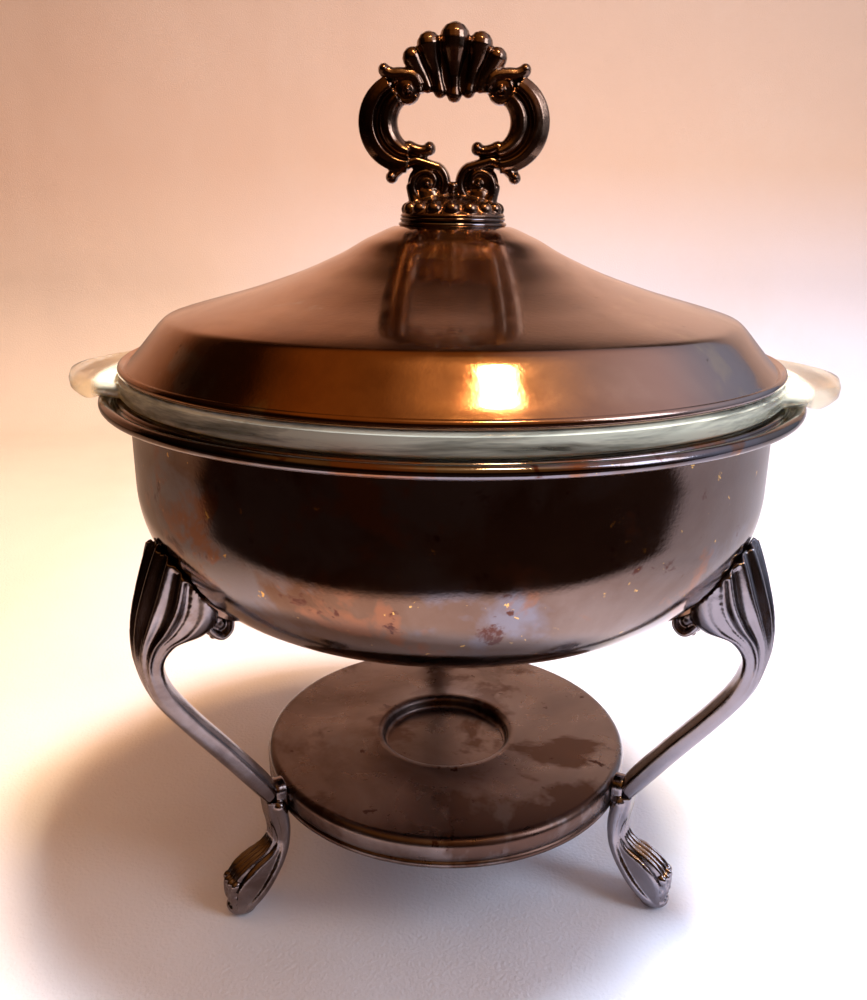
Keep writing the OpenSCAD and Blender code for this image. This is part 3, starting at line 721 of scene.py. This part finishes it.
def pad_mesh():
    """Curved pad that beds one leg on the bowl, rounded off at both ends."""
    def layer(gap):
        return arc(*CORNER_C, CORNER_R + gap, -67, -24, 26)

    made = Mesh()
    lines = list(zip(layer(0.15), layer(1.9)))
    rings = []
    for i, (low, high) in enumerate(lines):
        t = 2 * i / (len(lines) - 1) - 1
        half = 3 + 9.5 * (1 - abs(t) ** 3)
        spots = np.linspace(-half, half, 12) / BOWL_R
        rings.append([(low[0] * math.cos(a), low[0] * math.sin(a), low[1]) for a in spots]
                     + [(high[0] * math.cos(a), high[0] * math.sin(a), high[1]) for a in spots[::-1]])
    made.rings(rings)
    return made


def foot_mesh():
    """One paw foot along +X: side rails, ridged instep, four toes with claws, and the tray lug.

    The spine's stations are like STEM's; ridges gives the grooves' depth across the half width.
    """
    made = Mesh()
    spine = [(77.6, 43.6, 69.4, 43.2, 4.8), (77.2, 37, 69.6, 36, 4.8), (76.2, 31.5, 69.6, 30, 4.8),
             (76.5, 27.2, 70, 24.5, 5.0), (79.9, 23.8, 71.6, 19.6, 5.5), (85.7, 21, 74, 15.4, 6.2),
             (90.3, 17.6, 76.8, 11.4, 6.7), (93.0, 13, 79.6, 7.8, 6.7), (93.4, 8, 82.4, 4.4, 6.2),
             (92.0, 3.6, 84.2, 1.4, 5.2), (89.8, 0.6, 85.2, 0.4, 4.0)]
    ridges = [(0, 1.3), (0.1, 0.45), (0.19, 0), (0.28, 0.45), (0.37, 1.5), (0.46, 0.5), (0.54, 0.1),
              (0.62, 0.7), (0.72, 3.0), (0.82, 3.0), (0.9, 1.2), (1.0, 0.9)]
    relief = np.interp(np.linspace(0, 10, 81), [0, 1, 2, 3, 4, 6, 7.5, 8.4, 9.2, 10],
                       [0, 0.1, 0.4, 0.7, 1, 1.1, 1.1, 0.7, 0.2, 0])
    rings = []
    for s, strength in zip(smooth(spine, 8), relief):
        outer, inner = np.array((s[0], s[1])), np.array((s[2], s[3]))
        length = np.linalg.norm(outer - inner)
        ring = []
        for v in np.linspace(-1, 1, 65):
            depth = strength * np.interp(abs(v), *zip(*ridges)) + 2.6 * max(0, abs(v) - 0.8) ** 2 / 0.04
            x, z = outer + (inner - outer) * min(0.8, depth / length)
            ring.append((x, v * s[4], z))
        for v in np.linspace(1, -1, 33)[1:-1]:
            x, z = inner + (outer - inner) * 0.3 * max(0, abs(v) - 0.55) ** 2 / 0.2
            ring.append((x, v * s[4], z))
        rings.append(ring)
    made.rings(rings)
    # toes and claws at the ends of the ridges
    for v in (-0.54, -0.19, 0.19, 0.54):
        made.ball((91.9 - 2.2 * abs(v), v * 7.2, 13.6), (2.3, 1.35, 2.1))
        made.ball((92.7 - 3.0 * abs(v), v * 7.2, 8.4), (1.5, 1.0, 2.3))
    # one thick rail down each side that runs on round the toes as the sole's lip
    for side in (-1, 1):
        rail = smooth([(73.2, 3.7, 41), (71.9, 3.9, 34), (71.7, 4.0, 28.5), (72.6, 4.2, 23.6),
                       (74.8, 4.6, 18.8), (77.8, 5.1, 14.4), (81.0, 5.4, 10.4), (84.4, 5.2, 6.9),
                       (87.8, 4.4, 4.2), (90.4, 2.9, 3.1), (91.6, 1.2, 3.0), (91.8, 0, 3.0)], 5)
        rail = rail * (1, side, 1)
        made.tube(rail, along(len(rail), [0, 0.2, 0.5, 0.75, 1], [2.6, 2.0, 2.1, 2.0, 1.6]))
    # round-topped lug against the tray's side
    lug = []
    for x, k in ((69.95, 1.0), (73.2, 1.0), (73.9, 0.93), (74.2, 0.8)):
        lug.append([(x, 4.4 * k * math.cos(t), (45.5 if math.sin(t) > 0 else 38.0) + 4.4 * k * math.sin(t))
                    for t in np.linspace(0, 2 * math.pi, 32, endpoint=False)])
    made.rings(lug)
    return made


def outside_tray(mesh):
    """Keeps a foot's metal off the tray: points inside its radius move out to it."""
    done = Mesh()
    verts = []
    for x, y, z in mesh.verts:
        r = math.hypot(x, y)
        if z > TRAY_BOTTOM - 1.5 and r < TRAY_R + 0.02:
            x, y = x * (TRAY_R + 0.02) / r, y * (TRAY_R + 0.02) / r
        verts.append((x, y, max(z, 0.0)))
    done.add(verts, mesh.faces)
    return done


leg = cast(leg_mesh(), 0.4, 2)
foot = outside_tray(cast(foot_mesh(), 0.32, 2))
pad = pad_mesh()
for place, angle in LEGS.items():
    piece(f"leg_seat_{place}", pad.turned(angle), "stand", [f"leg_pad_{place}"], dark_cast)
    piece(f"cast_leg_{place}", leg.turned(angle), "stand", [f"leg_{place}"], leg_cast,
          sharp=0)
    piece(f"paw_foot_{place}", foot.turned(angle), "stand", [f"foot_{place}"], leg_cast,
          sharp=0)

# ---------------------------------------------------------------- CAD nodes that keep their shape
KEPT = {"lid_wire": wire_metal, "rim_wire": wire_metal, "tray_wire": wire_metal, "handle_stud": brass,
        "lid_washer": brass, "lid_nut": brass, "leg_screws": brass, "ankle_screws": brass}
for node, material in KEPT.items():
    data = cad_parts[node].data
    data.materials.clear()
    data.materials.append(material)


# ---------------------------------------------------------------- stage, lights and camera
TABLE_EDGE = -0.25
# Linen tones with painted light: warm lamplight at the left and up the wall, cool window light at the right,
# painted shade at the top of the wall and in folds.
LAMPLIT_LINEN, WINDOW_LIT_LINEN = (0.92, 0.74, 0.56), (0.84, 0.87, 0.97)
LAMPLIT_WALL, SHADED_WALL_TOP, FOLD_SHADE = (0.76, 0.51, 0.36), (0.52, 0.36, 0.27), (0.72, 0.56, 0.44)
# Painted reflection: the dark room that rays other than camera and transmission rays see on the cloth.
DARK_ROOM = (0.02, 0.010, 0.006)


def cloth():
    """Pale linen with painted light: warm lamplight at the left and up the wall, cool window light at the
    right, and painted shade high on the wall and in folds; see-through from behind.

    For rays other than camera and transmission rays the cloth is painted dark past the table's front edge
    and high on the wall, and painted dimmer far out on either side: painted reflections of a dark room.
    """
    n = Nodes("backdrop_cloth")
    x, _, z = n.split()
    path = n.add("ShaderNodeLightPath")
    to_camera = path.outputs["Is Camera Ray"]
    # Painted light: warm lamplight at the left, cool window light at the right, warmer and darker up the
    # wall.
    colour = n.mix(n.span(x, -0.28, 0.04), LAMPLIT_LINEN, WINDOW_LIT_LINEN)
    colour = n.mix(n.ramp(z, [(0.0, 0.0), (0.3, 1.0)]), colour, LAMPLIT_WALL)
    # Painted shade: the top of the wall darker, for camera rays only.
    upper = n.maths("MULTIPLY", n.ramp(z, [(0.2, 0.0), (0.6, 1.0)]), to_camera)
    colour = n.mix(upper, colour, SHADED_WALL_TOP)
    # Painted shade in the cloth's folds.
    fold_shade = n.ramp(n.noise(6, 5, 0.6, 0, (1, 1, 0.6)), [(0.45, 0.0), (0.8, 0.35)])
    colour = n.mix(fold_shade, colour, FOLD_SHADE)

    def ahead(slant):
        """How far behind the table's edge a point lies, with the edge turned by the slant."""
        node = n.add("ShaderNodeVectorMath", operation="DOT_PRODUCT")
        n.link(n.place, node.inputs[0])
        node.inputs[1].default_value = (slant, 1.0, 0.0)
        return node.outputs["Value"]

    # Painted reflections of a dark room: away from camera and transmission rays the cloth turns dark past the
    # table's edge, high on the wall and far out at the sides.
    table = n.span(n.maths("MINIMUM", ahead(0.4), ahead(-0.15)), TABLE_EDGE - 0.05, TABLE_EDGE)
    wall = n.span(z, 0.66, 1.05, 1.0, 0.12)
    sides = n.ramp(n.span(x, -0.5, 0.5), [(0.15, 0.28), (0.37, 1.0), (0.63, 1.0), (0.85, 0.5)])
    sides = n.maths("MAXIMUM", sides, n.ramp(z, [(0.05, 0.0), (0.3, 1.0)]))
    mirrored = n.maths("MULTIPLY", n.maths("MULTIPLY", table, wall), sides)
    direct = n.maths("MAXIMUM", to_camera, path.outputs["Is Transmission Ray"])
    seen = n.maths("MAXIMUM", direct, mirrored)
    n.link(n.mix(seen, DARK_ROOM, colour), n.shader.inputs["Base Color"])
    n.shader.inputs["Roughness"].default_value = 0.95
    n.shader.inputs["Specular IOR Level"].default_value = 0.1
    n.bump((n.noise(3.5, 3, 0.5, 0.4), 6.0), (n.noise(2.5, 2, 0.5, 0.5, (3, 1, 0.5)), 3.0),
           (n.noise(700, 2, 0.5), 0.35))
    behind = n.add("ShaderNodeNewGeometry").outputs["Backfacing"]
    n.surface(n.blend(behind, n.shader.outputs[0], n.add("ShaderNodeBsdfTransparent").outputs[0]))
    return n.material


def backdrop():
    """A table top that sweeps up into a wall behind the object."""
    wall, bend, front, columns = 0.86, 0.16, -2.2, 23
    line = ([(front, 0.0)] + [(y, 0.0) for y in np.linspace(-1.2, wall - bend, 12)]
            + [(wall - bend + bend * math.sin(t), bend - bend * math.cos(t))
               for t in np.linspace(0.1, math.pi / 2, 14)]
            + [(wall, z) for z in (0.4, 0.8, 1.3)])
    data = bpy.data.meshes.new("backdrop")
    data.from_pydata([(x, y, z) for y, z in line for x in np.linspace(-2.2, 1.1, columns)], [],
                     [(j * columns + i, j * columns + i + 1, (j + 1) * columns + i + 1, (j + 1) * columns + i)
                      for j in range(len(line) - 1) for i in range(columns - 1)])
    data.shade_smooth()
    obj = bpy.data.objects.new("backdrop", data)
    bpy.context.scene.collection.objects.link(obj)
    data.materials.append(cloth())


backdrop()


LAMP = Vector((0.23, -0.46, 1.35))
# Each light's place, what it aims at, its size, watts and colour, and a kind of ray it is hidden from
LIGHTS = {
    "window": ((0.90, -0.52, 0.75), (0.1, 0.0, 0.02), (0.45, 0.6), 6.5, (0.70, 0.82, 1.0), None),
    "sky": ((0.21, -0.12, 1.22), (0.62, -0.05, 0.0), (0.20, 0.20), 23, (0.70, 0.82, 1.0), "glossy"),
    "hanging_lamp": ((0.20, 0.0, 1.25), (-0.42, -0.20, 0.0), (0.18, 0.18), 12.5, (1.0, 0.58, 0.26), "glossy"),
    "ceiling_lamp": (LAMP, (0, 0, 0.15), (0.2, 0.2), 10, (1.0, 0.62, 0.28), "diffuse"),
    "front_fill": ((0.10, -1.30, 0.80), (0.0, -0.25, 0.0), (0.6, 0.4), 2.2, (0.55, 0.70, 1.0), "glossy"),
    "wall_lamp": ((-0.70, 0.10, 0.75), (-0.50, 0.3, 0.0), (0.5, 0.4), 0.9, (1.0, 0.60, 0.30), "glossy"),
}

for name, (place, aim, size, watts, tint, hidden_from) in LIGHTS.items():
    data = bpy.data.lights.new(name, "AREA")
    data.shape = "DISK" if name == "ceiling_lamp" else "RECTANGLE"
    data.size, data.size_y = size
    data.energy, data.color = watts, tint
    light = bpy.data.objects.new(name, data)
    light.location = place
    light.rotation_euler = (Vector(aim) - Vector(place)).to_track_quat("-Z", "Y").to_euler()
    bpy.context.scene.collection.objects.link(light)
    if hidden_from:
        setattr(light, "visible_" + hidden_from, False)


def room():
    """Dim brown room with a glow round the lamp and cool light at the right; cameras see pale wall."""
    world = bpy.data.worlds.new("room")
    bpy.context.scene.world = world
    world.use_nodes = True
    tree = world.node_tree
    coord = tree.nodes.new("ShaderNodeTexCoord")

    def stops(fac, places):
        node = tree.nodes.new("ShaderNodeValToRGB")
        while len(node.color_ramp.elements) < len(places):
            node.color_ramp.elements.new(0.5)
        for element, (position, colour) in zip(node.color_ramp.elements, places):
            element.position, element.color = position, (*colour, 1)
        tree.links.new(fac, node.inputs["Fac"])
        return node.outputs["Color"]

    def towards(direction):
        node = tree.nodes.new("ShaderNodeVectorMath")
        node.operation = "DOT_PRODUCT"
        tree.links.new(coord.outputs["Generated"], node.inputs[0])
        node.inputs[1].default_value = Vector(direction).normalized()
        return node.outputs["Value"]

    glow = stops(towards(LAMP), [(0.0, (0.005, 0.002, 0.001)), (0.5, (0.02, 0.008, 0.003)),
                                 (0.7, (0.30, 0.11, 0.02)), (0.9, (0.30, 0.13, 0.035)),
                                 (1.0, (1.0, 0.55, 0.2))])
    cool = stops(towards((0.85, 0.15, 0.50)), [(0.6, (0.0, 0.0, 0.0)), (0.85, (0.30, 0.33, 0.42)),
                                               (1.0, (0.55, 0.6, 0.75))])
    lit = tree.nodes.new("ShaderNodeVectorMath")
    lit.operation = "ADD"
    tree.links.new(glow, lit.inputs[0])
    tree.links.new(cool, lit.inputs[1])
    seen = tree.nodes.new("ShaderNodeMixShader")
    dark, pale = tree.nodes["Background"], tree.nodes.new("ShaderNodeBackground")
    tree.links.new(lit.outputs[0], dark.inputs["Color"])
    pale.inputs["Color"].default_value = (0.80, 0.68, 0.58, 1)
    tree.links.new(tree.nodes.new("ShaderNodeLightPath").outputs["Is Camera Ray"], seen.inputs[0])
    tree.links.new(dark.outputs[0], seen.inputs[1])
    tree.links.new(pale.outputs[0], seen.inputs[2])
    tree.links.new(seen.outputs[0], tree.nodes["World Output"].inputs["Surface"])


room()

# ---------------------------------------------------------------- camera
LENS, EYE = 33.19, (-0.0167, -0.3244, 0.2460)
PITCH, YAW, ROLL = 0.3053, 0.0342, 0.0086
camera_data = bpy.data.cameras.new("camera")
camera_data.lens, camera_data.sensor_width = LENS, 36.0
camera_data.sensor_fit = "AUTO"
camera_data.clip_start = 0.01
camera = bpy.data.objects.new("camera", camera_data)
bpy.context.scene.collection.objects.link(camera)
look = (Matrix.Rotation(-YAW, 4, "Z") @ Matrix.Rotation(math.pi / 2 - PITCH, 4, "X")
        @ Matrix.Rotation(ROLL, 4, "Z"))
camera.matrix_world = Matrix.Translation(EYE) @ look
bpy.context.scene.camera = camera
bpy.context.scene.view_settings.view_transform = "Standard"
